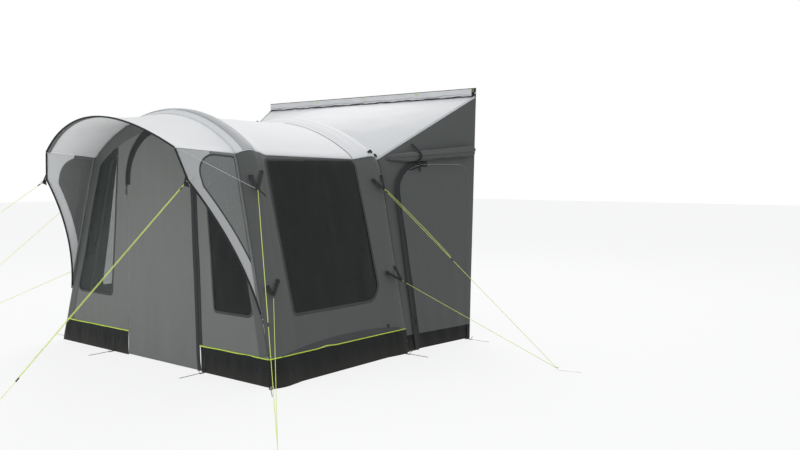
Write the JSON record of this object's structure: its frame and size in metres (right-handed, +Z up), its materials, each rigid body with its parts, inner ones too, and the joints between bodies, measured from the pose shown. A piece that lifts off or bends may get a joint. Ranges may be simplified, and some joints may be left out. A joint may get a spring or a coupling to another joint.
{
  "type": "driveaway awning",
  "caption": "Inflatable tent-like awning with two air-beam arches, a hooded zipped front door, tinted windows and a tunnel that joins a parked van.",
  "frame": {"origin": "middle of the awning's footprint on the ground, halfway between its outermost pegged points each way, ropes left out", "axes": "+X to the right seen from the front, +Y from the front door towards the vehicle, +Z up"},
  "size_m": [5.5512, 4.6193, 2.4073],
  "materials": {
    "light_cloth": "light grey coated polyester, matt",
    "grey_cloth": "mid grey coated polyester, matt",
    "side_cloth": "dark grey coated polyester, matt",
    "dark_cloth": "charcoal polyester sleeve cloth, matt",
    "skirt_sheet": "black coated groundsheet cloth, slightly glossy",
    "window_film": "tinted clear PVC film, glossy",
    "bladder_film": "translucent TPU air bladder",
    "moulding": "black moulded plastic",
    "glass_fibre": "black glass-fibre rod in a cloth pocket",
    "steel": "zinc plated steel rod",
    "rope": "yellow-green braided polypropylene guy rope"
  },
  "bodies": {
    "awning": {"roof_panel": "light_cloth", "side_wall_left": "side_cloth", "side_window_left": "window_film", "skirt_side_left": "skirt_sheet", "base_peg_skirt_side_left_0": "steel", "side_wall_right": "side_cloth", "side_window_right": "window_film", "skirt_side_right": "skirt_sheet", "base_peg_skirt_side_right_0": "steel", "front_wall": "grey_cloth", "front_window_left": "window_film", "front_window_right": "window_film", "skirt_front_left": "skirt_sheet", "base_peg_skirt_front_left_0": "steel", "skirt_front_right": "skirt_sheet", "base_peg_skirt_front_right_0": "steel", "base_peg_skirt_front_right_1": "steel", "hood_panel": "light_cloth", "wing_left": "light_cloth", "wing_window_left": "window_film", "brow_pole_left": "glass_fibre", "wing_right": "light_cloth", "wing_window_right": "window_film", "brow_pole_right": "glass_fibre", "beam_sleeve_front": "dark_cloth", "beam_bladder_front": "bladder_film", "valve_front": "moulding", "beam_sleeve_rear": "dark_cloth", "beam_bladder_rear": "bladder_film", "valve_rear": "moulding", "tunnel_roof": "light_cloth", "tunnel_wall_left": "side_cloth", "tunnel_wall_right": "side_cloth", "base_peg_tunnel_wall_right_0": "steel", "tunnel_roll_right": "side_cloth", "connection_strip": "light_cloth", "rail_bead": "dark_cloth", "guy_peg_hood_left": "steel", "guy_peg_hood_right": "steel", "guy_peg_front_left": "steel", "guy_peg_front_right": "steel", "guy_peg_rear_right": "steel", "guy_hood_left": "rope", "guy_hood_right": "rope", "guy_front_left_upper": "rope", "guy_front_left_lower": "rope", "guy_front_right_upper": "rope", "guy_front_right_lower": "rope", "guy_rear_right_upper": "rope", "guy_rear_right_lower": "rope"},
    "front_door": {"front_door": "grey_cloth"},
    "tunnel_door_left": {"tunnel_door_left": "side_cloth"},
    "tunnel_door_right": {"tunnel_door_right": "side_cloth"},
    "door_zip_slider": {"door_zip_slider": "moulding"},
    "tunnel_zip_slider": {"tunnel_zip_slider": "moulding"},
    "valve_cap_front": {"valve_cap_front": "moulding"},
    "valve_cap_rear": {"valve_cap_rear": "moulding"},
    "runner_hood_right": {"runner_hood_right": "moulding"},
    "runner_front_right_upper": {"runner_front_right_upper": "moulding"},
    "runner_rear_right_upper": {"runner_rear_right_upper": "moulding"}
  },
  "joints": [
    {"name": "front_door_swing", "type": "hinge", "parent": "awning", "child": "front_door", "pos_m": [-0.4315, -0.93465, 0], "axis": [0.0499, -0.026, -0.9984], "range_deg": [0, 65]},
    {"name": "tunnel_door_left_swing", "type": "hinge", "parent": "awning", "child": "tunnel_door_left", "pos_m": [-1.63653, 1.41535, 0], "axis": [-0.1647, 0, -0.9863], "range_deg": [0, 90]},
    {"name": "tunnel_door_right_swing", "type": "hinge", "parent": "awning", "child": "tunnel_door_right", "pos_m": [1.53941, 1.41535, 0], "axis": [0, 0, 1], "range_deg": [0, 90]},
    {"name": "door_zip_travel", "type": "slide", "parent": "awning", "child": "door_zip_slider", "axis": [-0.0499, 0.026, 0.9984], "range_m": [-1.2, 0.07]},
    {"name": "tunnel_zip_travel", "type": "slide", "parent": "awning", "child": "tunnel_zip_slider", "axis": [-0.165, 0, 0.9863], "range_m": [0, 1]},
    {"name": "valve_cap_front_screw", "type": "hinge", "parent": "awning", "child": "valve_cap_front", "pos_m": [1.16733, -0.81192, 0.44521], "axis": [-0.9702, 0.0333, -0.2399], "continuous": true},
    {"name": "valve_cap_rear_screw", "type": "hinge", "parent": "awning", "child": "valve_cap_rear", "pos_m": [1.21708, 0.55603, 0.44622], "axis": [-0.9813, 0.034, -0.1892], "continuous": true},
    {"name": "runner_hood_right_travel", "type": "slide", "parent": "awning", "child": "runner_hood_right", "axis": [0.2555, 0.5974, 0.7601], "range_m": [-0.2, 0.3]},
    {"name": "runner_front_right_upper_travel", "type": "slide", "parent": "awning", "child": "runner_front_right_upper", "axis": [-0.6182, 0.492, 0.6131], "range_m": [-0.3, 0.3]},
    {"name": "runner_rear_right_upper_travel", "type": "slide", "parent": "awning", "child": "runner_rear_right_upper", "axis": [-0.7274, -0.1414, 0.6715], "range_m": [-0.3, 0.3]}
  ]
}
